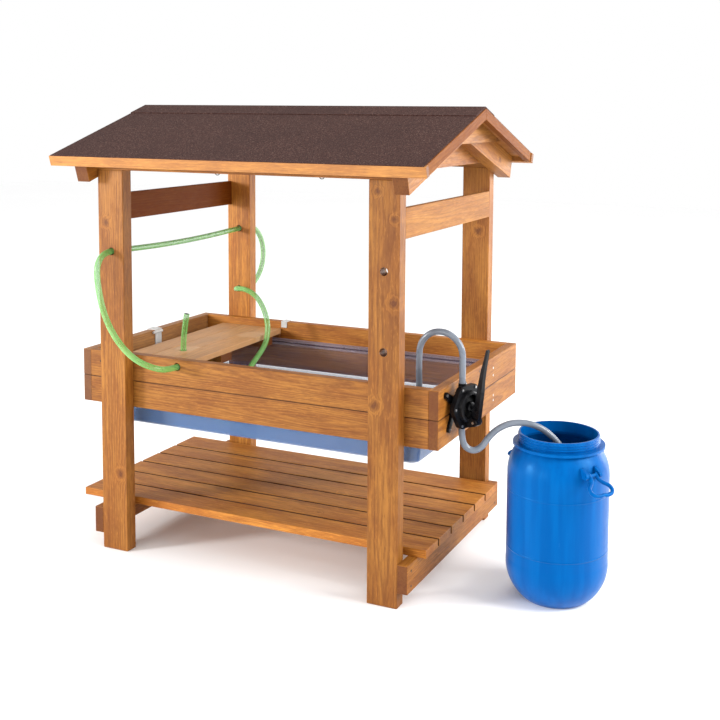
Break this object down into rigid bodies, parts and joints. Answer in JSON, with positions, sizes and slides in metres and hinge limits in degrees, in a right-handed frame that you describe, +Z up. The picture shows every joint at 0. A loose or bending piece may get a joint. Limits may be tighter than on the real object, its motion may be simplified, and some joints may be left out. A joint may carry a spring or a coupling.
{
  "type": "sand and water table",
  "caption": "Timber play table with a clear tray, slatted shelf, felted gable roof, hand pump, flexible hoses and an open-topped blue water drum.",
  "frame": {"origin": "on the ground, under the middle of the box around everything but the hoses", "axes": "+X to the right along the roof ridge, towards the drum; +Y from the front to the back; +Z up"},
  "size_m": [1.8442, 1.0976, 1.517],
  "materials": {
    "timber": "honey brown stain, satin, with knots",
    "felt": "mineral-gritted bitumen felt, matt",
    "tray_plastic": "clear, faintly blue, moulded",
    "pump_plastic": "black moulded, satin",
    "pump_rubber": "black, matt",
    "steel": "zinc plated",
    "white_plastic": "moulded",
    "drum_plastic": "blow moulded, semi-gloss",
    "green_hose": "translucent green, flexible",
    "grey_hose": "grey, flexible"
  },
  "bodies": {
    "stand": {"barge_boards_left": "timber", "barge_boards_right": "timber", "box_back_lower": "timber", "box_back_upper": "timber", "box_front_lower": "timber", "box_front_upper": "timber", "box_left_lower": "timber", "box_left_upper": "timber", "box_right_lower": "timber", "box_right_upper": "timber", "collar_ties": "timber", "drum": "drum_plastic", "eaves_beams": "timber", "fascia_boards": "timber", "gable_gussets": "timber", "hose_delivery": "grey_hose", "hose_suction": "grey_hose", "hose_water_line": "green_hose", "lower_rail_left": "timber", "lower_rail_right": "timber", "panel_clips": "white_plastic", "post_back_left": "timber", "post_back_right": "timber", "post_front_left": "timber", "post_front_right": "timber", "pump_body": "pump_plastic", "pump_clamp_ring": "pump_plastic", "pump_diaphragm": "pump_rubber", "pump_lever_pin": "steel", "pump_screws": "steel", "pump_valves": "pump_plastic", "rafters_left": "timber", "rafters_right": "timber", "ridge_strip": "felt", "roof_deck_back": "timber", "roof_deck_front": "timber", "roof_felt_back": "felt", "roof_felt_front": "felt", "screw_eyes": "steel", "shelf_slat_1": "timber", "shelf_slat_2": "timber", "shelf_slat_3": "timber", "shelf_slat_4": "timber", "shelf_slat_5": "timber", "shelf_slat_6": "timber", "tray": "tray_plastic", "tray_ledgers_long": "timber", "tray_ledgers_short": "timber", "upper_rail_left": "timber", "upper_rail_right": "timber", "wood_screws": "steel"},
    "work_board": {"work_board_battens": "timber", "work_board_plank_1": "timber", "work_board_plank_2": "timber", "work_board_plank_3": "timber", "work_board_rests": "timber"},
    "pump_lever": {"pump_lever": "pump_plastic"},
    "pump_rod": {"pump_rod": "pump_plastic"},
    "drum_handle_front": {"drum_handle_front": "drum_plastic"},
    "drum_handle_back": {"drum_handle_back": "drum_plastic"}
  },
  "joints": [
    {"name": "work_board_lift", "type": "slide", "parent": "stand", "child": "work_board", "axis": [0, 0, 1], "range_m": [0, 0.04]},
    {"name": "pump_lever_swing", "type": "hinge", "parent": "stand", "child": "pump_lever", "pos_m": [0.50834, -0.26457, 0.562], "axis": [0.309, 0.9511, 0], "range_deg": [-10, 16]},
    {"name": "pump_rod_pull", "type": "slide", "parent": "stand", "child": "pump_rod", "axis": [0.9511, -0.309, 0], "range_m": [-0.0079, 0.0124]},
    {"name": "drum_handle_front_swing", "type": "hinge", "parent": "stand", "child": "drum_handle_front", "pos_m": [0.85611, -0.21417, 0.432], "axis": [-0.6101, -0.7923, 0], "range_deg": [0, 100]},
    {"name": "drum_handle_back_swing", "type": "hinge", "parent": "stand", "child": "drum_handle_back", "pos_m": [0.59465, -0.01283, 0.432], "axis": [0.6101, 0.7923, 0], "range_deg": [0, 100]}
  ],
  "couplings": [
    {"joint": "pump_rod_pull", "follows": "pump_lever_swing", "m_per_rad": 0.043}
  ]
}
